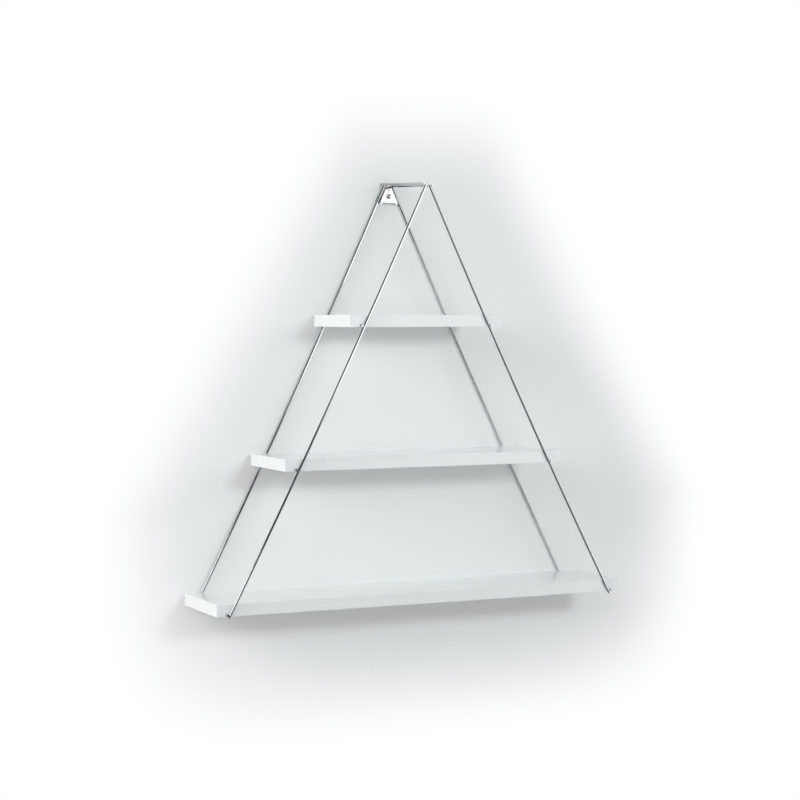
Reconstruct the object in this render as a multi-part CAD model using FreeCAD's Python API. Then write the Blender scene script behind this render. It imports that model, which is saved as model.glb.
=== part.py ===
import FreeCAD, Part
import math
import os

# A triangular wall shelf: two wire side frames lean together like an A, three white boards lie
# across their rungs, and a small steel bracket at the rear apex carries the whole on one screw.
# Millimetres. X runs along the wall, Y into the wall, Z up. The origin is on the wall, on the
# screw's axis, so the shelf stands out towards -Y and hangs down towards -Z.

# Rods
rod_diameter = 4.0
rod_end_rounding = 0.5
rod_end_straight = 1.0
weld_sink = 0.3
foot_past_weld = 3.4
crown_past_weld = 2.0
rung_past_leg = 0.3

# Side frames: half spans are measured from the middle of the shelf to the axis of a leg
foot_half_span = 316.0
front_crown_half_gap = 2.9
rear_crown_half_gap = 6.3
crown_rise = 628.0
rear_crown_extra_rise = 7.3
right_crown_drop = 2.5
leg_bow = 4.5

# Boards
board_thickness = 18.0
board_depth = 135.0
middle_board_rise = 205.0
top_board_rise = 210.0
skin_thickness = 0.3
edging_thickness = 0.8
edging_rounding = 0.5

# How the boards sit on the rungs and between the legs
groove_inset = 16.0
groove_side_clearance = 0.3
groove_seat_gap = 0.1
board_leg_clearance = 0.3

# Wall bracket
bracket_thickness = 1.5
bracket_rod_clearance = 0.15
bracket_drop = 10.0
bracket_crown_reach = 17.0
bracket_crown_half_width = 2.6
bracket_crown_rounding = 2.2
bracket_base_half_width = 15.0
tab_length = 10.0
tab_root = 5.0
tab_bend_radius = 1.5
tab_lip_angle = 35.0
relief_radius = 0.9
steady_hole_diameter = 2.4
steady_hole_rise = 9.0

# Wall screw
screw_below_crown = 17.5
screw_diameter = 4.0
screw_neck_diameter = 2.9
screw_hole_clearance = 0.3
screw_free_length = 26.0
screw_point_length = 4.0
screw_point_diameter = 0.6
screw_head_diameter = 8.0
screw_head_height = 2.6
screw_head_edge = 0.8
recess_span = 4.4
recess_width = 1.0
recess_depth = 1.5
recess_taper = 1.2

# One overrun lets every cut pass right through, and places closer than the tolerance are the same
overrun = 2.0
match_tolerance = 0.001

# Where things are, worked out from the sizes above
rod_radius = rod_diameter / 2
weld_offset = rod_diameter - weld_sink
rear_leg_y = -(bracket_thickness + bracket_rod_clearance + rod_radius)
board_rear_y = rear_leg_y - rod_radius - board_leg_clearance
board_front_y = board_rear_y - board_depth
front_leg_y = board_front_y - board_leg_clearance - rod_radius
bracket_rear_y = rear_leg_y - rod_radius - bracket_rod_clearance
bracket_front_y = bracket_rear_y - bracket_thickness
bottom_board_z = screw_below_crown - crown_rise - rear_crown_extra_rise
middle_board_z = bottom_board_z + middle_board_rise
top_board_z = middle_board_z + top_board_rise
front_crown_z = bottom_board_z + crown_rise
rear_crown_z = front_crown_z + rear_crown_extra_rise

LEFT = -1
RIGHT = 1


class LegLine:
    """The axis of a leg: a shallow arc from its foot to its crown, bowed towards the middle.

    Everything here is in the plane of the leg, with the distance from the middle of the shelf
    counted as positive on both sides.
    """

    def __init__(self, y, crown_half_gap, crown_z):
        self.y = y
        run = crown_half_gap - foot_half_span
        rise = crown_z - bottom_board_z
        chord = math.hypot(run, rise)
        self.radius = (chord ** 2 / 4 + leg_bow ** 2) / (2 * leg_bow)
        reach = self.radius - leg_bow
        self.centre_x = foot_half_span + run / 2 + reach * rise / chord
        self.centre_z = bottom_board_z + rise / 2 - reach * run / chord

    def half_span(self, z, offset=0):
        """Distance from the middle at height z, of the leg's axis or of a line outside it."""
        reach = self.radius - offset
        return self.centre_x - math.sqrt(reach ** 2 - (z - self.centre_z) ** 2)

    def angle(self, z, offset=0):
        """Where that point lies on the arc, as an angle about the arc's centre."""
        return math.atan2(z - self.centre_z, self.half_span(z, offset) - self.centre_x)

    def point(self, angle, side, offset=0):
        """The point at an angle on the arc, or on a line outside it, on one side of the shelf."""
        reach = self.radius - offset
        x = self.centre_x + reach * math.cos(angle)
        z = self.centre_z + reach * math.sin(angle)
        return FreeCAD.Vector(side * x, self.y, z)

    def direction(self, angle, side):
        """The direction up the leg at an angle on the arc."""
        return FreeCAD.Vector(side * math.sin(angle), 0, -math.cos(angle))


front_line = LegLine(front_leg_y, front_crown_half_gap, front_crown_z)
rear_line = LegLine(rear_leg_y, rear_crown_half_gap, rear_crown_z)


def board_weld_angles(board_z):
    """Where a board's rungs are welded to the front and rear legs, level with its underside."""
    rung_z = board_z + rod_radius
    return front_line.angle(rung_z, weld_offset), rear_line.angle(rung_z, weld_offset)


def crown_weld_angles(side):
    """Where the crown rung is welded: on the right frame a little lower than on the left."""
    drop = right_crown_drop if side == RIGHT else 0
    return front_line.angle(front_crown_z - drop), rear_line.angle(rear_crown_z - drop)


def weld_points(angles, side):
    """The points on a rung's axis that lie beside the front and rear legs."""
    front_angle, rear_angle = angles
    return (front_line.point(front_angle, side, weld_offset),
            rear_line.point(rear_angle, side, weld_offset))


def solid_of(shape):
    """The one solid that a boolean result holds."""
    return shape.Solids[0]


def save(node, shape):
    """Write one sub-part to its own file."""
    shape.exportStep("parts/" + node + ".step")


# Legs and rungs

def make_rod_end(start, outward):
    """The last straight bit of a bowed rod, with the sharp edge taken off its tip."""
    end = Part.makeCylinder(rod_radius, rod_end_straight, start, outward)
    tip = start + outward * rod_end_straight
    rims = [edge for edge in end.Edges if (edge.CenterOfMass - tip).Length < match_tolerance]
    return end.makeFillet(rod_end_rounding, rims)


def make_leg(line, lowest_weld_angle, crown_weld_angle, side):
    """One bowed leg, from just below its lowest weld to just above its crown weld."""
    foot_angle = lowest_weld_angle + (foot_past_weld - rod_end_straight) / line.radius
    crown_angle = crown_weld_angle - (crown_past_weld - rod_end_straight) / line.radius
    foot = line.point(foot_angle, side)
    crown = line.point(crown_angle, side)
    foot_direction = line.direction(foot_angle, side)
    crown_direction = line.direction(crown_angle, side)
    section = Part.Face(Part.Wire([Part.makeCircle(rod_radius, foot, foot_direction)]))
    centre = FreeCAD.Vector(side * line.centre_x, line.y, line.centre_z)
    turn = FreeCAD.Vector(0, side, 0)
    curve = section.revolve(centre, turn, math.degrees(foot_angle - crown_angle))
    ends = [make_rod_end(foot, -foot_direction), make_rod_end(crown, crown_direction)]
    return solid_of(curve.fuse(ends))


def make_saddle(line, angle, side):
    """The short stretch of a leg that a rung is pressed into at a weld."""
    along = line.direction(angle, side)
    start = line.point(angle, side) - along * rod_diameter
    return Part.makeCylinder(rod_radius, 2 * rod_diameter, start, along)


def make_rung(angles, side):
    """A straight rod welded to the outside of both legs, with a short end past each."""
    front_point, rear_point = weld_points(angles, side)
    front_angle, rear_angle = angles
    along = (rear_point - front_point).normalize()
    end_past_axis = rod_radius + rung_past_leg
    start = front_point - along * end_past_axis
    length = (rear_point - front_point).Length + 2 * end_past_axis
    rung = Part.makeCylinder(rod_radius, length, start, along)
    rung = rung.makeFillet(rod_end_rounding, [edge for edge in rung.Edges if edge.isClosed()])
    rung = rung.cut(make_saddle(front_line, front_angle, side))
    rung = rung.cut(make_saddle(rear_line, rear_angle, side))
    return solid_of(rung)


def build_side_frame(side_name, side):
    """Two legs and four rungs, each rung sunk a little into the outside of both legs."""
    bottom_angles = board_weld_angles(bottom_board_z)
    crown_angles = crown_weld_angles(side)
    rung_angles = {
        "bottom": bottom_angles,
        "middle": board_weld_angles(middle_board_z),
        "top": board_weld_angles(top_board_z),
        "crown": crown_angles,
    }
    front_leg = make_leg(front_line, bottom_angles[0], crown_angles[0], side)
    rear_leg = make_leg(rear_line, bottom_angles[1], crown_angles[1], side)
    save("front_" + side_name + "_leg", front_leg)
    save("rear_" + side_name + "_leg", rear_leg)
    for level_name, angles in rung_angles.items():
        save(level_name + "_" + side_name + "_rung", make_rung(angles, side))


# Boards

def groove(board_z, side):
    """The slot across a board's underside that takes a rung, as a solid to cut away."""
    front_point, rear_point = weld_points(board_weld_angles(board_z), side)
    slope = (rear_point.x - front_point.x) / (rear_point.y - front_point.y)
    half_width = rod_radius + groove_side_clearance
    bottom = board_z - overrun
    ceiling = board_z + rod_diameter + groove_seat_gap
    corners = []
    for y, across in (
        (board_front_y - overrun, -half_width),
        (board_front_y - overrun, half_width),
        (board_rear_y + overrun, half_width),
        (board_rear_y + overrun, -half_width),
    ):
        x = front_point.x + slope * (y - front_point.y) + across
        corners.append(FreeCAD.Vector(x, y, bottom))
    outline = Part.makePolygon(corners + corners[:1])
    return Part.Face(outline).extrude(FreeCAD.Vector(0, 0, ceiling - bottom))


def board_half_length(board_z):
    """Half a board's length: its rungs lie the same distance in from both of its ends."""
    front_point, rear_point = weld_points(board_weld_angles(board_z), RIGHT)
    return (front_point.x + rear_point.x) / 2 + groove_inset


def make_block(x_span, y_span, z_span):
    """A square block between two values along each axis."""
    size = [high - low for low, high in (x_span, y_span, z_span)]
    corner = FreeCAD.Vector(x_span[0], y_span[0], z_span[0])
    return Part.makeBox(*size, corner)


def round_outer_edges(block, outer_planes):
    """Round every edge of a block where two of the given outer planes meet.

    Each plane is an axis number (0, 1 or 2) and the place of the plane along it.
    """
    def lies_on(edge, axis, place):
        return all(abs(vertex.Point[axis] - place) < match_tolerance for vertex in edge.Vertexes)

    edges = [edge for edge in block.Edges
             if sum(lies_on(edge, axis, place) for axis, place in outer_planes) == 2]
    return block.makeFillet(edging_rounding, edges)


def build_board(level_name, board_z):
    """A chipboard core between two skins, with an edging on each of its four edges."""
    half_length = board_half_length(board_z)
    board_top_z = board_z + board_thickness
    core_x = (edging_thickness - half_length, half_length - edging_thickness)
    core_y = (board_front_y + edging_thickness, board_rear_y - edging_thickness)
    core_z = (board_z + skin_thickness, board_top_z - skin_thickness)
    whole_x = (-half_length, half_length)
    whole_z = (board_z, board_top_z)
    left_x = (-half_length, core_x[0])
    right_x = (core_x[1], half_length)
    front_y = (board_front_y, core_y[0])
    rear_y = (core_y[1], board_rear_y)
    level_planes = [(2, board_z), (2, board_top_z)]
    end_planes = [(0, -half_length), (0, half_length)]
    grooves = groove(board_z, LEFT).fuse(groove(board_z, RIGHT))

    core = make_block(core_x, core_y, core_z)
    upper_skin = make_block(core_x, core_y, (core_z[1], board_top_z))
    lower_skin = make_block(core_x, core_y, (board_z, core_z[0]))
    front_edging = make_block(whole_x, front_y, whole_z)
    rear_edging = make_block(whole_x, rear_y, whole_z)
    left_edging = make_block(left_x, core_y, whole_z)
    right_edging = make_block(right_x, core_y, whole_z)
    front_edging = round_outer_edges(front_edging, level_planes + end_planes + [(1, board_front_y)])
    rear_edging = round_outer_edges(rear_edging, level_planes + end_planes + [(1, board_rear_y)])
    left_edging = round_outer_edges(left_edging, level_planes + end_planes)
    right_edging = round_outer_edges(right_edging, level_planes + end_planes)

    save(level_name + "_board_core", solid_of(core.cut(grooves)))
    save(level_name + "_board_upper_skin", upper_skin)
    save(level_name + "_board_lower_skin", lower_skin.cut(grooves))
    save(level_name + "_board_front_edging", solid_of(front_edging.cut(grooves)))
    save(level_name + "_board_rear_edging", solid_of(rear_edging.cut(grooves)))
    save(level_name + "_board_left_edging", left_edging)
    save(level_name + "_board_right_edging", right_edging)


# Wall bracket

def make_tab(side):
    """The strip at a lower corner of the bracket that turns back and hooks behind a rear leg.

    It runs along the inside of the leg, so the legs, which spread downwards, wedge on the two tabs.
    """
    base_angle = rear_line.angle(-bracket_drop)
    base = rear_line.point(base_angle, side)
    up_leg = rear_line.direction(base_angle, side)
    inward = FreeCAD.Vector(-side * up_leg.z, 0, side * up_leg.x)
    to_room = FreeCAD.Vector(0, -1, 0)
    inner = rod_radius + bracket_rod_clearance
    outer = inner + bracket_thickness

    def at(inward_distance, room_distance):
        """A point by its distances from the leg's axis, to the middle and to the room."""
        return base + inward * inward_distance + to_room * room_distance

    def around(radius, degrees):
        """A point behind the leg: 0 is on its inside and 90 is towards the wall."""
        turn = math.radians(degrees)
        return at(radius * math.cos(turn), -radius * math.sin(turn))

    lip = 90 + tab_lip_angle
    bend_middle = tab_bend_radius * (1 - math.sqrt(0.5))
    outline = Part.Wire([
        Part.makeLine(at(inner + tab_root, outer), at(inner + tab_bend_radius, outer)),
        Part.Arc(
            at(inner + tab_bend_radius, outer),
            at(inner + bend_middle, outer - bend_middle),
            at(inner, outer - tab_bend_radius),
        ).toShape(),
        Part.makeLine(at(inner, outer - tab_bend_radius), at(inner, 0)),
        Part.Arc(around(inner, 0), around(inner, lip / 2), around(inner, lip)).toShape(),
        Part.makeLine(around(inner, lip), around(outer, lip)),
        Part.Arc(around(outer, lip), around(outer, lip / 2), around(outer, 0)).toShape(),
        Part.makeLine(at(outer, 0), at(outer, inner)),
        Part.makeLine(at(outer, inner), at(inner + tab_root, inner)),
        Part.makeLine(at(inner + tab_root, inner), at(inner + tab_root, outer)),
    ])
    return Part.Face(outline).extrude(up_leg * tab_length)


def make_round_cut(x, z, radius):
    """A round cut straight through the bracket's plate."""
    start = FreeCAD.Vector(x, bracket_front_y - overrun, z)
    return Part.makeCylinder(radius, bracket_thickness + 2 * overrun, start, FreeCAD.Vector(0, 1, 0))


def build_wall_bracket():
    """A triangular steel plate in front of the rear legs, hooked behind each of them."""
    corners = [
        FreeCAD.Vector(-bracket_base_half_width, bracket_front_y, -bracket_drop),
        FreeCAD.Vector(bracket_base_half_width, bracket_front_y, -bracket_drop),
        FreeCAD.Vector(bracket_crown_half_width, bracket_front_y, bracket_crown_reach),
        FreeCAD.Vector(-bracket_crown_half_width, bracket_front_y, bracket_crown_reach),
    ]
    outline = Part.makePolygon(corners + corners[:1])
    plate = Part.Face(outline).extrude(FreeCAD.Vector(0, bracket_thickness, 0))
    crown_edges = [edge for edge in plate.Edges
                   if abs(edge.Length - bracket_thickness) < match_tolerance
                   and abs(edge.CenterOfMass.z - bracket_crown_reach) < match_tolerance]
    plate = plate.makeFillet(bracket_crown_rounding, crown_edges)
    bracket = plate.fuse(make_tab(LEFT)).fuse(make_tab(RIGHT)).removeSplitter()
    relief_x = rear_line.half_span(-bracket_drop) - tab_root
    hole_radius = screw_diameter / 2 + screw_hole_clearance
    for cut in (
        make_round_cut(-relief_x, -bracket_drop, relief_radius),
        make_round_cut(relief_x, -bracket_drop, relief_radius),
        make_round_cut(0, 0, hole_radius),
        make_round_cut(0, steady_hole_rise, steady_hole_diameter / 2),
    ):
        bracket = bracket.cut(cut)
    save("wall_bracket", solid_of(bracket))


# Wall screw

def build_wall_screw():
    """A pan-headed screw through the bracket, with its free length in the wall."""
    to_wall = FreeCAD.Vector(0, 1, 0)
    head_front_y = bracket_front_y - screw_head_height
    head_edge_y = bracket_front_y - screw_head_edge
    dome_y = (head_front_y + head_edge_y) / 2
    head_radius = screw_head_diameter / 2
    dome_x = head_radius * math.cos(math.asin((head_edge_y - dome_y) / (head_edge_y - head_front_y)))
    base_middle = FreeCAD.Vector(0, bracket_front_y, 0)
    base_rim = FreeCAD.Vector(head_radius, bracket_front_y, 0)
    dome_rim = FreeCAD.Vector(head_radius, head_edge_y, 0)
    dome_side = FreeCAD.Vector(dome_x, dome_y, 0)
    dome_middle = FreeCAD.Vector(0, head_front_y, 0)
    profile = Part.Wire([
        Part.makeLine(base_middle, base_rim),
        Part.makeLine(base_rim, dome_rim),
        Part.Arc(dome_rim, dome_side, dome_middle).toShape(),
        Part.makeLine(dome_middle, base_middle),
    ])
    head = Part.Face(profile).revolve(FreeCAD.Vector(0, 0, 0), to_wall, 360)
    neck = Part.makeCylinder(screw_neck_diameter / 2, -bracket_front_y, base_middle, to_wall)
    wall_face = FreeCAD.Vector(0, 0, 0)
    shank = Part.makeCylinder(screw_diameter / 2, screw_free_length, wall_face, to_wall)
    point_start = wall_face + to_wall * screw_free_length
    point = Part.makeCone(
        screw_diameter / 2, screw_point_diameter / 2, screw_point_length, point_start, to_wall
    )
    screw = head.fuse([neck, shank, point])

    half_span = recess_span / 2
    half_width = recess_width / 2
    recess_y = (head_front_y - overrun, head_front_y + recess_depth)
    slots = make_block((-half_span, half_span), recess_y, (-half_width, half_width)).fuse(
        make_block((-half_width, half_width), recess_y, (-half_span, half_span))
    )
    well = Part.makeCone(half_span, half_span - recess_taper, recess_depth, dome_middle, to_wall)
    mouth = Part.makeCylinder(half_span, overrun, dome_middle - to_wall * overrun, to_wall)
    recess = slots.common(well.fuse(mouth))
    save("wall_screw", solid_of(screw.cut(recess)))


os.makedirs("parts", exist_ok=True)
build_side_frame("left", LEFT)
build_side_frame("right", RIGHT)
build_board("bottom", bottom_board_z)
build_board("middle", middle_board_z)
build_board("top", top_board_z)
build_wall_bracket()
build_wall_screw()
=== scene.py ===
import logging
import math
from dataclasses import dataclass, field
from enum import Enum
from typing import Any, Callable, Sequence

import bmesh
import bpy
from mathutils import Matrix, Vector


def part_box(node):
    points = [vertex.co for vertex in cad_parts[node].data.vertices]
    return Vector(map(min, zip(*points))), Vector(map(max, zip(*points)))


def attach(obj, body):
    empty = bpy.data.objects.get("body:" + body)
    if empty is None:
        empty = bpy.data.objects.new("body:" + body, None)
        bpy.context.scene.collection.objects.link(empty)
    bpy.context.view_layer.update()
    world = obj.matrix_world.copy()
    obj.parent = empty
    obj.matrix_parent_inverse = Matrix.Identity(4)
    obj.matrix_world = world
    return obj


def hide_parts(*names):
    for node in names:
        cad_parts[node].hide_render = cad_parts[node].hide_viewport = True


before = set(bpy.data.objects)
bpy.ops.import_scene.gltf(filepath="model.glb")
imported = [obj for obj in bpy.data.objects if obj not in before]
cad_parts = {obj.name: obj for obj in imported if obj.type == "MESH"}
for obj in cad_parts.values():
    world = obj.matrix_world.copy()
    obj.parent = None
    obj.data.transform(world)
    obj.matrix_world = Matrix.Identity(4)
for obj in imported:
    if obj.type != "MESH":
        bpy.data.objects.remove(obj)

MM = 0.001
ROOT = "root"
SMOOTH_ANGLE = math.radians(35)
WHITE = "#FFFFFF"
log = logging.getLogger("triangular_shelf")


class Side(Enum):
    """The two side frames, by the sign of X on their side of the shelf."""

    LEFT = -1
    RIGHT = 1

    @property
    def word(self) -> str:
        """The side's word in a node's name."""
        return self.name.lower()


class Level(Enum):
    """The rows of rungs, from the lowest board to the crown."""

    BOTTOM = "bottom"
    MIDDLE = "middle"
    TOP = "top"
    CROWN = "crown"


BOARD_LEVELS = (Level.BOTTOM, Level.MIDDLE, Level.TOP)


class Leg(Enum):
    """The two legs of a side frame."""

    FRONT = "front"
    REAR = "rear"


class Pick(Enum):
    """The kinds of mesh element that can be selected."""

    VERTICES = "VERT"
    EDGES = "EDGE"
    FACES = "FACE"


# Colour and node helpers

def linear(hex_colour: str) -> tuple[float, float, float, float]:
    """Turns an sRGB hex colour to the linear values that a shader takes.

    Args:
        hex_colour: six hex digits after a hash.

    Returns:
        Linear red, green, blue and an alpha of 1.
    """
    channels = [int(hex_colour[i:i + 2], 16) / 255 for i in (1, 3, 5)]
    straight = [c / 12.92 if c <= 0.04045 else ((c + 0.055) / 1.055) ** 2.4 for c in channels]
    return (*straight, 1.0)


def waves_per_metre(size_mm: float) -> float:
    """The scale of a texture whose features are this far apart on Object coordinates."""
    return 1 / (size_mm * MM)


def varied(roughness: float, low_share: float = 0.8, high_share: float = 1.3) -> dict[str, float]:
    """The inputs that map a noise, from the range where nearly all of it lies, to a roughness.

    Args:
        roughness: the usual roughness.
        low_share: the smoothest places' share of it.
        high_share: the roughest places' share of it.

    Returns:
        The inputs by name.
    """
    return {
        "From_Min": 0.3, "From_Max": 0.7,
        "To_Min": roughness * low_share, "To_Max": roughness * high_share,
    }


class NodeGraph:
    """A material's or world's node tree, with one way to add a node."""

    def __init__(self, owner: bpy.types.Material | bpy.types.World) -> None:
        """Empties the owner's tree.

        Args:
            owner: the material or world to build.
        """
        owner.use_nodes = True
        self.tree = owner.node_tree
        self.tree.nodes.clear()

    def add(self, kind: str, settings: dict[str, Any] | None = None, **inputs: Any) -> bpy.types.Node:
        """Adds a node, sets it, and fills or links its inputs.

        Args:
            kind: the node's type name, without the ShaderNode at its start.
            settings: the node's own properties by name, with a colour ramp's stops as "stops".
            inputs: values, output sockets, or nodes for their first output. They are given by input
                name, with _ for a space, or as in0, in1 by number.

        Returns:
            The new node.
        """
        node = self.tree.nodes.new("ShaderNode" + kind)
        for name, value in (settings or {}).items():
            if name == "stops":
                self.set_stops(node.color_ramp, value)
            else:
                setattr(node, name, value)
        for name, value in inputs.items():
            by_number = name[:2] == "in" and name[2:].isdigit()
            socket = node.inputs[int(name[2:])] if by_number else node.inputs[name.replace("_", " ")]
            if isinstance(value, bpy.types.Node):
                value = value.outputs[0]
            if isinstance(value, bpy.types.NodeSocket):
                self.tree.links.new(value, socket)
            else:
                socket.default_value = value
        return node

    @staticmethod
    def set_stops(ramp: bpy.types.ColorRamp, stops: Sequence[tuple[float, str]]) -> None:
        """Sets the stops of a new colour ramp.

        Args:
            ramp: the ramp.
            stops: places from 0 to 1 with their hex colours.
        """
        while len(ramp.elements) < len(stops):
            ramp.elements.new(0.5)
        for element, (place, colour) in zip(ramp.elements, stops):
            element.position = place
            element.color = linear(colour)


# Finishes

@dataclass(frozen=True)
class ChromePlate:
    """Bright chrome electroplated on drawn or rolled steel.

    The plating is a hard, slightly cool mirror. It follows the fine lines that drawing and polishing
    leave along the metal, so its highlights spread a little across them. Its tone drifts faintly.
    """

    name: str
    tilt: float = 0.0
    roughness: float = 0.07
    line_width_mm: float = 0.5
    line_length_mm: float = 30.0
    cloud_mm: float = 45.0

    def build(self) -> bpy.types.Material:
        """Builds the material.

        Returns:
            The plating, with its polish lines turned to run along the metal.
        """
        material = bpy.data.materials.new(self.name)
        graph = NodeGraph(material)
        place = graph.add("TexCoord").outputs["Object"]
        turned = graph.add(
            "Mapping", {"vector_type": "TEXTURE"}, Vector=place, Rotation=(0.0, self.tilt, 0.0),
        )
        # The real lines are hundredths of a millimetre wide. These are as coarse as shows close up.
        line_shape = (1.0, 1.0, self.line_width_mm / self.line_length_mm)
        stretched = graph.add("Mapping", Vector=turned, Scale=line_shape)
        lines = graph.add(
            "TexNoise", Vector=stretched, Scale=waves_per_metre(self.line_width_mm), Detail=3.0,
            Roughness=0.6,
        )
        clouds = graph.add("TexNoise", Vector=place, Scale=waves_per_metre(self.cloud_mm), Detail=2.0)
        colour = graph.add("ValToRGB", {"stops": ((0.3, "#BFC2C4"), (0.7, "#C7C9CB"))}, Fac=clouds)
        roughness = graph.add(
            "MapRange", Value=lines, **varied(self.roughness, low_share=0.75, high_share=1.5),
        )
        bump = graph.add("Bump", Strength=0.05, Distance=0.02 * MM, Height=lines)
        shader = graph.add(
            "BsdfPrincipled", Base_Color=colour, Metallic=1.0, Roughness=roughness, Normal=bump,
        )
        graph.add("OutputMaterial", Surface=shader)
        return material


@dataclass(frozen=True)
class Melamine:
    """White melamine resin paper pressed on chipboard against a polished plate.

    It is smooth and closed, with a semi-gloss that mirrors what stands close to it, a faint ripple
    from the chips under it, and an almost even white.
    """

    name: str
    ripple_mm: float = 9.0
    grain_mm: float = 0.7
    roughness: float = 0.15

    def build(self) -> bpy.types.Material:
        """Builds the material.

        Returns:
            The white board facing.
        """
        material = bpy.data.materials.new(self.name)
        graph = NodeGraph(material)
        place = graph.add("TexCoord").outputs["Object"]
        ripple = graph.add("TexNoise", Vector=place, Scale=waves_per_metre(self.ripple_mm), Detail=2.0)
        grain = graph.add("TexNoise", Vector=place, Scale=waves_per_metre(self.grain_mm), Detail=2.0)
        colour = graph.add("ValToRGB", {"stops": ((0.3, "#E5E7E7"), (0.7, "#E9EBEB"))}, Fac=ripple)
        roughness = graph.add("MapRange", Value=grain, **varied(self.roughness))
        fine = graph.add("Bump", Strength=0.08, Distance=0.01 * MM, Height=grain)
        bump = graph.add("Bump", Strength=0.10, Distance=0.03 * MM, Height=ripple, Normal=fine)
        shader = graph.add(
            "BsdfPrincipled", Base_Color=colour, Roughness=roughness, IOR=1.54, Normal=bump,
        )
        graph.add("OutputMaterial", Surface=shader)
        return material


@dataclass(frozen=True)
class PlasticEdging:
    """White ABS edging, extruded, glued on and scraped flush.

    It is a shade darker than the melamine and a touch softer in gloss. The scraper leaves faint lines
    along the edge, with a light chatter across it.
    """

    name: str
    across: tuple[float, float, float]
    line_mm: float = 0.6
    chatter_mm: float = 3.0
    roughness: float = 0.16

    def build(self) -> bpy.types.Material:
        """Builds the material.

        Returns:
            The white edging.
        """
        material = bpy.data.materials.new(self.name)
        graph = NodeGraph(material)
        place = graph.add("TexCoord").outputs["Object"]
        stretched = graph.add("Mapping", Vector=place, Scale=self.across)
        lines = graph.add("TexNoise", Vector=stretched, Scale=waves_per_metre(self.line_mm), Detail=2.0)
        chatter = graph.add("TexNoise", Vector=place, Scale=waves_per_metre(self.chatter_mm), Detail=1.0)
        colour = graph.add("ValToRGB", {"stops": ((0.3, "#E1E3E3"), (0.7, "#E5E7E7"))}, Fac=chatter)
        roughness = graph.add("MapRange", Value=lines, **varied(self.roughness))
        bump = graph.add("Bump", Strength=0.08, Distance=0.01 * MM, Height=lines)
        shader = graph.add(
            "BsdfPrincipled", Base_Color=colour, Roughness=roughness, IOR=1.53, Normal=bump,
        )
        graph.add("OutputMaterial", Surface=shader)
        return material


@dataclass(frozen=True)
class Chipboard:
    """Raw chipboard, pressed wood chips and glue, bare only in the milled grooves.

    It is matt and straw coloured, with flat chips of several tones and small dark gaps.
    """

    name: str
    chip_mm: float = 2.2

    def build(self) -> bpy.types.Material:
        """Builds the material.

        Returns:
            The bare core of a board.
        """
        material = bpy.data.materials.new(self.name)
        graph = NodeGraph(material)
        place = graph.add("TexCoord").outputs["Object"]
        flat = graph.add("Mapping", Vector=place, Scale=(0.5, 1.0, 2.0))
        chips = graph.add("TexVoronoi", Vector=flat, Scale=waves_per_metre(self.chip_mm))
        tone = graph.add("SeparateColor", Color=chips.outputs["Color"])
        tones = ((0.0, "#9C7B4F"), (0.35, "#B8935F"), (0.7, "#CDAC78"), (1.0, "#DFC79B"))
        colour = graph.add("ValToRGB", {"stops": tones}, Fac=tone.outputs["Red"])
        bump = graph.add("Bump", Strength=0.5, Distance=0.2 * MM, Height=chips.outputs["Distance"])
        shader = graph.add("BsdfPrincipled", Base_Color=colour, Roughness=0.9, IOR=1.45, Normal=bump)
        graph.add("OutputMaterial", Surface=shader)
        return material


@dataclass(frozen=True)
class ZincPlate:
    """Bright zinc plate on a cold-headed steel screw.

    It is softer than chrome and slightly blue, with a fine tumbled grain.
    """

    name: str
    grain_mm: float = 0.35
    roughness: float = 0.24

    def build(self) -> bpy.types.Material:
        """Builds the material.

        Returns:
            The screw's plating.
        """
        material = bpy.data.materials.new(self.name)
        graph = NodeGraph(material)
        place = graph.add("TexCoord").outputs["Object"]
        grain = graph.add("TexNoise", Vector=place, Scale=waves_per_metre(self.grain_mm), Detail=3.0)
        colour = graph.add("ValToRGB", {"stops": ((0.35, "#BFC4CA"), (0.65, "#CFD2D5"))}, Fac=grain)
        roughness = graph.add("MapRange", Value=grain, **varied(self.roughness))
        bump = graph.add("Bump", Strength=0.15, Distance=0.02 * MM, Height=grain)
        shader = graph.add(
            "BsdfPrincipled", Base_Color=colour, Metallic=1.0, Roughness=roughness, Normal=bump,
        )
        graph.add("OutputMaterial", Surface=shader)
        return material


def dress(node: str, material: bpy.types.Material) -> None:
    """Gives a CAD node its finish.

    Args:
        node: the node's name.
        material: its finish, in place of the one it was packed with.
    """
    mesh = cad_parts[node].data
    mesh.materials.clear()
    mesh.materials.append(material)
    log.info("dressed %s with %s", node, material.name)


# Modelling helpers

def make_active(piece: bpy.types.Object) -> None:
    """Selects one object alone and makes it the active one."""
    bpy.ops.object.select_all(action="DESELECT")
    piece.select_set(True)
    bpy.context.view_layer.objects.active = piece


def start_editing(piece: bpy.types.Object) -> None:
    """Opens one object alone in edit mode with all of its mesh selected."""
    make_active(piece)
    bpy.ops.object.mode_set(mode="EDIT")
    bpy.ops.mesh.select_all(action="SELECT")


def stop_editing() -> None:
    """Goes back to object mode."""
    bpy.ops.object.mode_set(mode="OBJECT")


def pick(piece: bpy.types.Object, kind: Pick, test: Callable[[Any], bool]) -> None:
    """Selects what passes a test in the mesh being edited, and nothing else.

    Args:
        piece: the object in edit mode.
        kind: what to select.
        test: says of one vertex, edge or face whether it is wanted.
    """
    bpy.ops.mesh.select_mode(type=kind.value)
    bpy.ops.mesh.select_all(action="DESELECT")
    mesh = bmesh.from_edit_mesh(piece.data)
    items = {Pick.VERTICES: mesh.verts, Pick.EDGES: mesh.edges, Pick.FACES: mesh.faces}[kind]
    for item in items:
        if test(item):
            item.select_set(True)
    mesh.select_flush_mode()
    bmesh.update_edit_mesh(piece.data)


def apply_place(piece: bpy.types.Object) -> None:
    """Moves an object's place, turn and size into its mesh."""
    make_active(piece)
    bpy.ops.object.transform_apply(location=True, rotation=True, scale=True)


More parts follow.
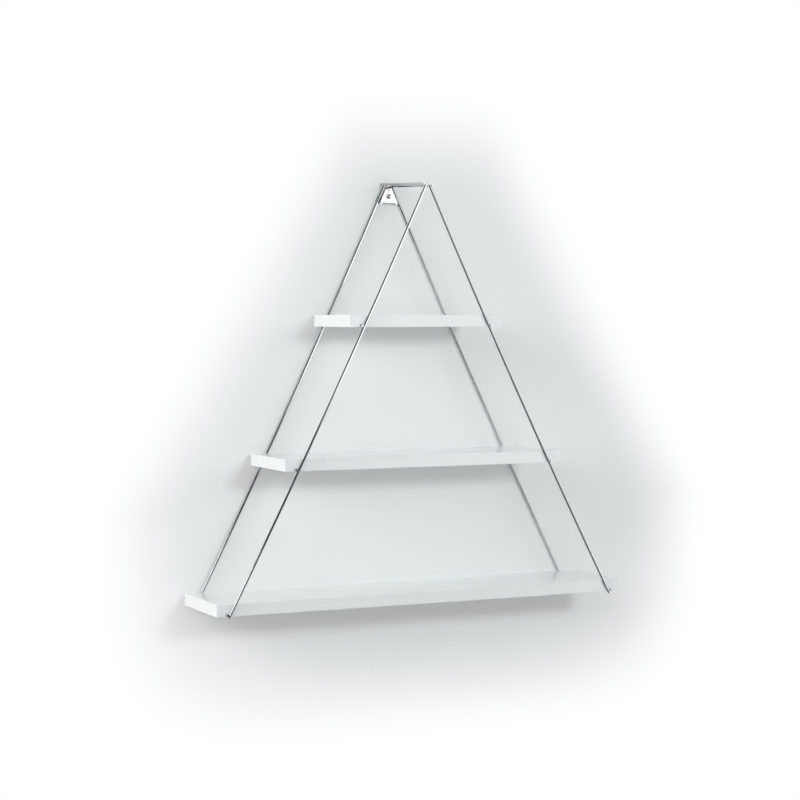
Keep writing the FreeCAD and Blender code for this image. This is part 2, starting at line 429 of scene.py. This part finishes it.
def apply_modifier(piece: bpy.types.Object, kind: str, **settings: Any) -> None:
    """Adds a modifier, sets it and applies it.

    Args:
        piece: the object.
        kind: the modifier's type.
        settings: the modifier's properties by name.
    """
    modifier = piece.modifiers.new(kind.title(), kind)
    for name, value in settings.items():
        setattr(modifier, name, value)
    make_active(piece)
    bpy.ops.object.modifier_apply(modifier=modifier.name)


def merged_copy(node: str, name: str, merge_distance: float = 0.001 * MM) -> bpy.types.Object:
    """Copies a CAD node as one closed mesh, with the loose corners of its triangles joined.

    Args:
        node: the node's name.
        name: the copy's name.
        merge_distance: corners closer than this are one.

    Returns:
        The copy.
    """
    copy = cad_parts[node].copy()
    copy.data = copy.data.copy()
    copy.name = copy.data.name = name
    bpy.context.scene.collection.objects.link(copy)
    place = copy.matrix_world.copy()
    copy.parent = None
    copy.matrix_world = place
    apply_place(copy)
    bpy.ops.mesh.customdata_custom_splitnormals_clear()
    start_editing(copy)
    bpy.ops.mesh.remove_doubles(threshold=merge_distance)
    stop_editing()
    return copy


def finish_piece(piece: bpy.types.Object, material: bpy.types.Material) -> bpy.types.Object:
    """Gives a new piece its finish and its body.

    Args:
        piece: the finished mesh.
        material: its material.

    Returns:
        The same object.
    """
    piece.data.materials.clear()
    piece.data.materials.append(material)
    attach(piece, ROOT)
    log.info("built %s", piece.name)
    return piece


# The object

@dataclass
class WeldBead:
    """The thin rough collar of metal that a cross-wire weld squeezes out between two rods.

    It is modelled once, round Z as the line between the rods' axes, with the rung along X.
    """

    collar_radius: float = 1.15 * MM
    bead_radius: float = 0.42 * MM
    saddle_rise: float = 0.15 * MM
    unevenness: float = 0.05 * MM
    stretch: tuple[float, float, float] = (1.12, 1.0, 0.85)
    swell: tuple[float, float, float] = (1.1, 1.12, 1.15)
    collar_segments: int = 20
    bead_segments: int = 8
    smoothing: float = 0.5
    seed: int = 4

    def model(self) -> bpy.types.Object:
        """Models the bead.

        Returns:
            The bead, to be copied to each weld.
        """
        bpy.ops.object.select_all(action="DESELECT")
        bpy.ops.mesh.primitive_torus_add(
            major_radius=self.collar_radius, minor_radius=self.bead_radius,
            major_segments=self.collar_segments, minor_segments=self.bead_segments,
        )
        bead = bpy.context.object
        bead.name = "weld_bead"
        start_editing(bead)
        bpy.ops.transform.resize(value=self.stretch)
        # Between two crossed rods the gap bends towards the leg along the rung, and away from it across.
        for over_rung, rise in ((True, -self.saddle_rise), (False, self.saddle_rise)):
            pick(bead, Pick.VERTICES, lambda v: (abs(v.co.x) > abs(v.co.y)) == over_rung)
            bpy.ops.transform.translate(value=(0.0, 0.0, rise))
        bpy.ops.mesh.select_all(action="SELECT")
        bpy.ops.mesh.vertices_smooth(factor=self.smoothing, repeat=1)
        pick(bead, Pick.VERTICES, lambda v: v.co.x > 0 and v.co.y > 0)
        bpy.ops.transform.resize(value=self.swell)
        bpy.ops.mesh.select_all(action="SELECT")
        bpy.ops.transform.vertex_random(offset=self.unevenness, seed=self.seed)
        stop_editing()
        apply_modifier(bead, "SUBSURF", levels=1, render_levels=1)
        bpy.ops.object.shade_smooth()
        return bead


@dataclass
class SideFrame:
    """One side frame: two legs and four rungs, with their welds."""

    side: Side
    rod_radius: float = 2.0 * MM
    weld_sink: float = 0.3 * MM

    def lean(self, leg: Leg) -> float:
        """How far a leg leans from upright, in radians, from the box round it."""
        low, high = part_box(f"{leg.value}_{self.side.word}_leg")
        return math.atan2(high.x - low.x - 2 * self.rod_radius, high.z - low.z)

    def rung_point(self, rung: str, y: float) -> Vector:
        """A point on a rung's axis.

        Args:
            rung: the rung's node.
            y: the point's place along the rung.

        Returns:
            The point. A rung is straight, so it lies on the line between the middles of its two ends.
        """
        low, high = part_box(rung)
        corners = [vertex.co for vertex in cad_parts[rung].data.vertices]
        ends = []
        for end_y in (low.y, high.y):
            ring = [corner for corner in corners if abs(corner.y - end_y) < self.rod_radius / 4]
            ends.append(sum(ring, Vector()) / len(ring))
        share = (y - ends[0].y) / (ends[1].y - ends[0].y)
        return ends[0].lerp(ends[1], share)

    def weld_place(self, level: Level, leg: Leg) -> Matrix:
        """Where a weld lies, with its Z axis from the leg to the rung and its X axis along the rung.

        Args:
            level: the rung's level.
            leg: the leg it is welded to.

        Returns:
            The weld's place and turn.
        """
        low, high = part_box(f"{leg.value}_{self.side.word}_leg")
        axis_point = self.rung_point(f"{level.value}_{self.side.word}_rung", (low.y + high.y) / 2)
        lean = self.lean(leg)
        outward = Vector((self.side.value * math.cos(lean), 0.0, math.sin(lean)))
        along_rung = Vector((0.0, 1.0, 0.0))
        across = outward.cross(along_rung)
        middle = axis_point - outward * (self.rod_radius - self.weld_sink / 2)
        turn = Matrix((along_rung, across, outward)).transposed().to_4x4()
        return Matrix.Translation(middle) @ turn

    def add_welds(self, bead: bpy.types.Object, plate: bpy.types.Material) -> None:
        """Copies the bead to the eight welds of this frame.

        Args:
            bead: the modelled bead.
            plate: the beads' finish.
        """
        for level in Level:
            for leg in Leg:
                weld = bead.copy()
                weld.data = bead.data.copy()
                weld.name = weld.data.name = f"weld_{level.value}_{leg.value}_{self.side.word}"
                bpy.context.scene.collection.objects.link(weld)
                weld.data.transform(self.weld_place(level, leg))
                finish_piece(weld, plate)

    def build(self, bead: bpy.types.Object) -> None:
        """Dresses the rods, each with polish lines along it, and adds the welds.

        Args:
            bead: the modelled weld bead.
        """
        tilt = -self.side.value * self.lean(Leg.FRONT)
        leg_plate = ChromePlate(f"chrome_{self.side.word}_legs", tilt=tilt).build()
        for leg in Leg:
            dress(f"{leg.value}_{self.side.word}_leg", leg_plate)
        rung_plate = ChromePlate(f"chrome_{self.side.word}_rungs").build()
        for level in Level:
            dress(f"{level.value}_{self.side.word}_rung", rung_plate)
        weld_plate = ChromePlate(
            f"chrome_{self.side.word}_welds", roughness=0.22, line_length_mm=0.8,
        ).build()
        self.add_welds(bead, weld_plate)


@dataclass
class Board:
    """One board: a chipboard core, two melamine skins and four edgings."""

    level: Level

    def build(self, skin: bpy.types.Material, long_edging: bpy.types.Material,
              short_edging: bpy.types.Material, core: bpy.types.Material) -> None:
        """Dresses the board.

        Args:
            skin: the melamine of both faces.
            long_edging: the edging along the front and rear.
            short_edging: the edging at both ends.
            core: the bare chipboard.
        """
        stem = f"{self.level.value}_board_"
        dress(stem + "core", core)
        for face in ("upper", "lower"):
            dress(stem + face + "_skin", skin)
        for edge in ("front", "rear"):
            dress(stem + edge + "_edging", long_edging)
        for edge in ("left", "right"):
            dress(stem + edge + "_edging", short_edging)


@dataclass
class WallScrew:
    """The pan-headed screw: head and cross recess, slim neck, rolled thread and tapered point."""

    node: str = "wall_screw"
    core_radius: float = 1.45 * MM
    crest_radius: float = 2.0 * MM
    thread_section: float = 0.52 * MM
    pitch: float = 1.8 * MM
    point_length: float = 4.0 * MM
    point_radius: float = 0.3 * MM
    neck_cut: float = -0.3 * MM
    core_sides: int = 32
    ridge_sides: int = 3
    steps_per_turn: int = 24
    taper_slices: int = 10

    @property
    def tip(self) -> float:
        """The place of the point's tip along Y."""
        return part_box(self.node)[1].y

    def model_head(self) -> bpy.types.Object:
        """Takes the head and neck from a merged copy of the CAD screw.

        Returns:
            The closed head.
        """
        head = merged_copy(self.node, "wall_screw_threaded")
        start_editing(head)
        bpy.ops.mesh.bisect(
            plane_co=(0.0, self.neck_cut, 0.0), plane_no=(0.0, 1.0, 0.0), clear_outer=True,
            use_fill=True,
        )
        stop_editing()
        return head

    def model_core(self) -> bpy.types.Object:
        """Models the shank under the thread, drawn out to the point.

        Returns:
            The core.
        """
        point_start = self.tip - self.point_length
        bpy.ops.object.select_all(action="DESELECT")
        bpy.ops.mesh.primitive_cylinder_add(
            vertices=self.core_sides, radius=self.core_radius, depth=point_start - self.neck_cut,
            location=(0.0, (point_start + self.neck_cut) / 2, 0.0), rotation=(-math.pi / 2, 0.0, 0.0),
        )
        core = bpy.context.object
        apply_place(core)
        start_editing(core)
        # Of all its faces only the far end's points along the screw.
        pick(core, Pick.FACES, lambda face: face.normal.y > math.cos(SMOOTH_ANGLE))
        bpy.ops.mesh.extrude_region_move(TRANSFORM_OT_translate={"value": (0.0, self.point_length, 0.0)})
        slimming = self.point_radius / self.core_radius
        bpy.ops.transform.resize(value=(slimming, 1.0, slimming), center_override=(0.0, self.tip, 0.0))
        stop_editing()
        return core

    def model_thread(self) -> bpy.types.Object:
        """Models the thread as a three-sided ridge wound round the core, and tapers it at the point.

        Returns:
            The closed thread.
        """
        turns = int((self.tip - self.thread_section) / self.pitch)
        bpy.ops.object.select_all(action="DESELECT")
        bpy.ops.mesh.primitive_circle_add(
            vertices=self.ridge_sides, radius=self.thread_section, rotation=(0.0, 0.0, -math.pi / 2),
            location=(self.crest_radius - self.thread_section, self.thread_section, 0.0),
        )
        thread = bpy.context.object
        apply_place(thread)
        apply_modifier(
            thread, "SCREW", axis="Y", screw_offset=self.pitch, iterations=turns,
            steps=self.steps_per_turn, render_steps=self.steps_per_turn,
        )
        start_editing(thread)
        bpy.ops.mesh.fill_holes(sides=self.ridge_sides)
        bpy.ops.mesh.select_all(action="SELECT")
        bpy.ops.mesh.normals_make_consistent(inside=False)
        point_start = self.tip - self.point_length
        slice_length = self.point_length / self.taper_slices
        loss = (1 - self.point_radius / self.core_radius) / self.taper_slices
        for count in range(self.taper_slices):
            start = point_start + count * slice_length
            factor = (1 - (count + 1) * loss) / (1 - count * loss)
            pick(thread, Pick.VERTICES, lambda v: v.co.y > start)
            bpy.ops.transform.resize(value=(factor, 1.0, factor), center_override=(0.0, 0.0, 0.0))
        stop_editing()
        return thread

    def build(self) -> None:
        """Joins the parts of the screw and puts it in place of its CAD node."""
        head = self.model_head()
        core = self.model_core()
        thread = self.model_thread()
        make_active(head)
        core.select_set(True)
        thread.select_set(True)
        bpy.ops.object.join()
        bpy.ops.object.shade_smooth_by_angle(angle=SMOOTH_ANGLE)
        finish_piece(head, ZincPlate("zinc_screw").build())
        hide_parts(self.node)


@dataclass
class WallBracket:
    """The bracket, pressed from sheet: its cut edges are barrelled round, and its faces stay flat."""

    node: str = "wall_bracket"
    edge_rounding: float = 0.22 * MM
    rounding_segments: int = 2
    flatness_weight: int = 100
    flat_angle: float = math.radians(1)
    sharp_angle: float = math.radians(50)

    def build(self) -> None:
        """Rounds the edges of a merged copy and puts it in place of its CAD node."""
        bracket = merged_copy(self.node, "wall_bracket_rounded")
        start_editing(bracket)
        bpy.ops.mesh.dissolve_limited(angle_limit=self.flat_angle)
        stop_editing()
        apply_modifier(
            bracket, "BEVEL", width=self.edge_rounding, segments=self.rounding_segments,
            limit_method="ANGLE", angle_limit=self.sharp_angle,
        )
        bpy.ops.object.shade_smooth_by_angle(angle=SMOOTH_ANGLE)
        apply_modifier(bracket, "WEIGHTED_NORMAL", keep_sharp=True, weight=self.flatness_weight)
        finish_piece(bracket, ChromePlate("chrome_bracket", roughness=0.10).build())
        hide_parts(self.node)


# The studio

@dataclass
class Softbox:
    """A soft lamp that faces a point, and that no mirror shows."""

    name: str
    centre: tuple[float, float, float]
    width: float
    height: float
    radiance: float
    aim: tuple[float, float, float] = (0.0, -0.07, -0.32)
    colour: str = "#F5FCFF"

    def build(self) -> None:
        """Makes the lamp. Its power follows from its size and how bright its face is."""
        lamp = bpy.data.lights.new(self.name, "AREA")
        lamp.shape = "RECTANGLE"
        lamp.size = self.width
        lamp.size_y = self.height
        lamp.energy = self.radiance * math.pi * self.width * self.height
        lamp.color = linear(self.colour)[:3]
        holder = bpy.data.objects.new(self.name, lamp)
        bpy.context.scene.collection.objects.link(holder)
        view = Vector(self.aim) - Vector(self.centre)
        holder.location = self.centre
        holder.rotation_euler = view.to_track_quat("-Z", "Y").to_euler()
        holder.visible_camera = False
        holder.visible_glossy = False
        log.info("lamp %s", self.name)


def add_sheet(name: str, low: Vector, high: Vector, roll: float = 0.0) -> bpy.types.Object:
    """Adds a flat sheet between two corners that share one coordinate.

    Args:
        name: the sheet's name.
        low: its corner with the lowest coordinates.
        high: its corner with the highest.
        roll: its turn in degrees about its own middle, in its own plane.

    Returns:
        The sheet, with its place in its mesh.
    """
    size = high - low
    flat_axis = min(range(3), key=lambda axis: abs(size[axis]))
    bpy.ops.object.select_all(action="DESELECT")
    bpy.ops.mesh.primitive_plane_add(size=1.0, location=(0.0, 0.0, 0.0))
    sheet = bpy.context.object
    sheet.name = name
    upright = {0: "Y", 1: "X"}
    turn = Matrix.Rotation(math.pi / 2, 4, upright[flat_axis]) if flat_axis in upright else Matrix()
    stretch = Matrix.Diagonal([abs(span) or 1.0 for span in size] + [1.0])
    rolled = Matrix.Rotation(math.radians(roll), 4, "XYZ"[flat_axis])
    middle = Matrix.Translation((low + high) / 2)
    sheet.data.transform(middle @ rolled @ stretch @ turn)
    return sheet


@dataclass
class Card:
    """A black or glowing card that only reflections show, as used beside bright metal."""

    name: str
    low: tuple[float, float, float]
    high: tuple[float, float, float]
    shade: str = "#060708"
    strength: float = 1.0
    roll: float = 0.0

    def build(self) -> None:
        """Makes the card. Its roll takes the left end of a front card up."""
        card = add_sheet(self.name, Vector(self.low), Vector(self.high), self.roll)
        material = bpy.data.materials.new(self.name)
        graph = NodeGraph(material)
        glow = graph.add("Emission", Color=linear(self.shade), Strength=self.strength)
        graph.add("OutputMaterial", Surface=glow)
        card.data.materials.append(material)
        card.visible_camera = False
        card.visible_diffuse = False
        card.visible_shadow = False
        card.visible_transmission = False
        log.info("card %s", self.name)


def seen(graph: NodeGraph) -> bpy.types.Node:
    """A value of 1 for what the eye sees, straight or in a mirror or glass, and 0 for light.

    Args:
        graph: the tree that needs the value.

    Returns:
        The node that gives it.
    """
    path = graph.add("LightPath")
    straight_or_mirrored = graph.add(
        "Math", {"operation": "MAXIMUM"}, in0=path.outputs["Is Camera Ray"],
        in1=path.outputs["Is Glossy Ray"],
    )
    return graph.add(
        "Math", {"operation": "MAXIMUM"}, in0=straight_or_mirrored,
        in1=path.outputs["Is Transmission Ray"],
    )


@dataclass(frozen=True)
class MattPaint:
    """Matt emulsion paint put on with a roller, which leaves a faint stipple."""

    colour: str
    roughness: float
    gloss: float
    stipple_mm: float

    def surface(self, graph: NodeGraph, place: bpy.types.NodeSocket) -> bpy.types.Node:
        """Adds the paint to a tree.

        Args:
            graph: the tree.
            place: the Object coordinates.

        Returns:
            The shader.
        """
        stipple = graph.add("TexNoise", Vector=place, Scale=waves_per_metre(self.stipple_mm), Detail=2.0)
        bump = graph.add("Bump", Strength=0.05, Distance=0.1 * MM, Height=stipple)
        return graph.add(
            "BsdfPrincipled", Base_Color=linear(self.colour), Roughness=self.roughness,
            Specular_IOR_Level=self.gloss, Normal=bump,
        )


@dataclass
class Wall:
    """The wall behind the shelf: a grey patch shows round the shelf and fades to white.

    The patch widens downwards as the shelf does, until it is at its widest.
    """

    floor_z: float
    top: float = 1.6
    half_width: float = 2.0
    gap: float = 0.0004
    patch_middle: float = 0.06
    patch_half_width: float = 0.173
    patch_slope: float = 0.59
    patch_widest: float = 0.455
    patch_top: float = 0.09
    patch_bottom: float = -0.773
    crown_rounding: float = 0.08
    foot_rounding: float = 0.42
    fade_reach: float = 0.17

    def fade(self, graph: NodeGraph, place: bpy.types.NodeSocket) -> bpy.types.Node:
        """How far the wall has faded: 0 in the grey patch and 1 away from it.

        Args:
            graph: the wall's tree.
            place: the Object coordinates.

        Returns:
            The node that gives it.
        """
        spot = graph.add("SeparateXYZ", Vector=place)
        x, z = spot.outputs["X"], spot.outputs["Z"]
        across = graph.add("Math", {"operation": "SUBTRACT"}, in0=x, in1=self.patch_middle)
        away = graph.add("Math", {"operation": "ABSOLUTE"}, in0=across)
        widening = graph.add(
            "Math", {"operation": "MULTIPLY_ADD"}, in0=z, in1=-self.patch_slope,
            in2=self.patch_half_width,
        )
        half_width = graph.add("Math", {"operation": "MINIMUM"}, in0=widening, in1=self.patch_widest)
        beside = graph.add("Math", {"operation": "SUBTRACT"}, in0=away, in1=half_width)
        above = graph.add("Math", {"operation": "SUBTRACT"}, in0=z, in1=self.patch_top)
        below = graph.add("Math", {"operation": "SUBTRACT"}, in0=self.patch_bottom, in1=z)
        upper = graph.add(
            "Math", {"operation": "SMOOTH_MAX"}, in0=beside, in1=above, in2=self.crown_rounding,
        )
        outside = graph.add(
            "Math", {"operation": "SMOOTH_MAX"}, in0=upper, in1=below, in2=self.foot_rounding,
        )
        return graph.add(
            "MapRange", {"interpolation_type": "SMOOTHSTEP"}, Value=outside,
            From_Min=-self.fade_reach / 2, From_Max=self.fade_reach / 2, To_Min=0.0, To_Max=1.0,
        )

    def build(self) -> None:
        """Makes the wall. It is one-sided and open to light, so the shelf's back is seen and lit."""
        low = Vector((-self.half_width, self.gap, self.floor_z))
        high = Vector((self.half_width, self.gap, self.top))
        wall = add_sheet("studio_wall", low, high)
        material = bpy.data.materials.new("wall_paint")
        graph = NodeGraph(material)
        place = graph.add("TexCoord").outputs["Object"]
        shown = graph.add(
            "Math", {"operation": "MULTIPLY"}, in0=self.fade(graph, place), in1=seen(graph),
        )
        paint = MattPaint("#E9EAE9", roughness=0.9, gloss=0.1, stipple_mm=2.5).surface(graph, place)
        white = graph.add("Emission", Color=linear(WHITE), Strength=1.0)
        front = graph.add("MixShader", in0=shown, in1=paint, in2=white)
        clear = graph.add("BsdfTransparent", Color=linear(WHITE))
        facing = graph.add("NewGeometry")
        path = graph.add("LightPath")
        open_to = graph.add(
            "Math", {"operation": "MAXIMUM"}, in0=facing.outputs["Backfacing"],
            in1=path.outputs["Is Shadow Ray"],
        )
        whole = graph.add("MixShader", in0=open_to, in1=front, in2=clear)
        graph.add("OutputMaterial", Surface=whole)
        wall.data.materials.append(material)
        log.info("stage %s", wall.name)


@dataclass
class Floor:
    """The plain floor, paler to the eye than to the light that it throws back."""

    z: float
    half_width: float = 4.0
    half_depth: float = 3.4
    paling: float = 0.75

    def build(self) -> None:
        """Makes the floor."""
        corner = Vector((self.half_width, self.half_depth, 0.0))
        height = Vector((0.0, 0.0, self.z))
        floor = add_sheet("studio_floor", height - corner, height + corner)
        material = bpy.data.materials.new("floor_paint")
        graph = NodeGraph(material)
        place = graph.add("TexCoord").outputs["Object"]
        paint = MattPaint("#C4C2C0", roughness=0.8, gloss=0.2, stipple_mm=4.0).surface(graph, place)
        pale = graph.add("Emission", Color=linear("#FBFBFB"), Strength=1.0)
        paled = graph.add("Math", {"operation": "MULTIPLY"}, in0=seen(graph), in1=self.paling)
        both = graph.add("MixShader", in0=paled, in1=paint, in2=pale)
        graph.add("OutputMaterial", Surface=both)
        floor.data.materials.append(material)
        log.info("stage %s", floor.name)


@dataclass
class Surroundings:
    """What lies all round: white to the eye, and a soft even light."""

    strength: float = 0.35

    def build(self) -> None:
        """Makes the world."""
        world = bpy.data.worlds.new("studio_world")
        bpy.context.scene.world = world
        graph = NodeGraph(world)
        light = graph.add("Background", Color=linear(WHITE), Strength=self.strength)
        white = graph.add("Background", Color=linear(WHITE), Strength=1.0)
        both = graph.add("MixShader", in0=seen(graph), in1=light, in2=white)
        graph.add("OutputWorld", Surface=both)
        log.info("world %s", world.name)


@dataclass
class PhotoCamera:
    """The level camera at the photograph's place, with its frame moved down to the shelf."""

    place: tuple[float, float, float] = (-1.3579, -2.8892, -0.1850)
    yaw: float = math.radians(25.54)
    focal_px: float = 2042.7
    horizon_px: float = 315.0
    frame_px: float = 800.0
    sensor_mm: float = 36.0
    nearest: float = 0.05
    farthest: float = 50.0

    def build(self) -> None:
        """Makes the camera and sets the view."""
        camera = bpy.data.cameras.new("photo_camera")
        camera.sensor_width = self.sensor_mm
        camera.lens = self.focal_px / self.frame_px * self.sensor_mm
        camera.shift_y = (self.horizon_px - self.frame_px / 2) / self.frame_px
        camera.clip_start = self.nearest
        camera.clip_end = self.farthest
        holder = bpy.data.objects.new("photo_camera", camera)
        bpy.context.scene.collection.objects.link(holder)
        holder.location = self.place
        holder.rotation_euler = (math.pi / 2, 0.0, -self.yaw)
        bpy.context.scene.camera = holder
        bpy.context.scene.view_settings.view_transform = "Standard"
        log.info("camera %s", holder.name)


@dataclass
class Studio:
    """The wall, the floor, the lamps, the cards, the surroundings and the camera.

    No mirror shows the lamps. What the chrome shows are the cards: the black ones give each rod its
    dark line, and the glowing ones the bright line beside it.
    """

    floor_z: float = -1.35
    lamps: list[Softbox] = field(default_factory=lambda: [
        Softbox("key_softbox", (0.3, -2.5, 0.23), 0.55, 0.3, 30.0),
        Softbox("front_panel", (1.35, -2.6, 0.45), 3.3, 0.9, 1.15),
        Softbox("left_front_panel", (-2.5, -2.2, 0.9), 1.6, 1.4, 3.1),
        Softbox("front_fill", (0.1, -2.6, -0.52), 2.0, 0.4, 1.5),
        Softbox("left_side_fill", (-3.0, -0.5, 0.4), 0.8, 1.6, 11.4, colour="#FFFFFC"),
        Softbox("right_side_fill", (3.0, 0.1, -0.3), 0.5, 1.6, 12.0),
        Softbox("back_panel", (0.3, 2.8, -1.05), 2.6, 0.6, 9.0),
    ])
    cards: list[Card] = field(default_factory=lambda: [
        Card("low_card", (-5.0, -2.75, -1.34), (1.7, -2.75, 0.0)),
        Card("gap_card", (-5.0, -2.75, 0.0), (0.4, -2.75, 0.95)),
        Card("high_card", (-5.0, -2.75, 0.95), (5.0, -2.75, 4.0)),
        Card("side_high_card", (-5.0, -2.75, 2.3), (-5.0, 0.0, 5.0)),
        Card("floor_card", (-5.0, -2.75, -1.345), (0.25, -0.1, -1.345)),
        Card("front_glow", (0.4, -2.7, 0.0), (3.0, -2.7, 0.95), WHITE, 1.9),
        Card("right_glow", (0.39, -2.69, -0.77), (2.99, -2.69, 0.23), WHITE, 1.95, roll=22.8),
        Card("right_side_glow", (3.2, -2.7, -1.34), (3.2, -0.2, -0.4), WHITE, 3.6),
        Card("left_glow", (-5.0, -2.7, 0.6), (-3.2, -2.7, 1.25), WHITE, 5.0),
        Card("side_glow", (-5.0, -2.75, 1.2), (-5.0, 0.0, 2.3), WHITE, 5.0),
    ])

    def build(self) -> None:
        """Builds the whole studio."""
        Wall(self.floor_z).build()
        Floor(self.floor_z).build()
        for lamp in self.lamps:
            lamp.build()
        for card in self.cards:
            card.build()
        Surroundings().build()
        PhotoCamera().build()


def main() -> None:
    """Builds the shelf's looks and the studio, in order."""
    logging.basicConfig(level=logging.INFO, format="%(message)s")
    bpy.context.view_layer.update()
    bead = WeldBead().model()
    for side in Side:
        SideFrame(side).build(bead)
    bpy.data.objects.remove(bead)
    skin = Melamine("melamine").build()
    long_edging = PlasticEdging("edging_long", across=(0.02, 1.0, 1.0)).build()
    short_edging = PlasticEdging("edging_short", across=(1.0, 0.02, 1.0)).build()
    core = Chipboard("chipboard_core").build()
    for level in BOARD_LEVELS:
        Board(level).build(skin, long_edging, short_edging, core)
    WallScrew().build()
    WallBracket().build()
    Studio().build()


if __name__ == "__main__":
    main()
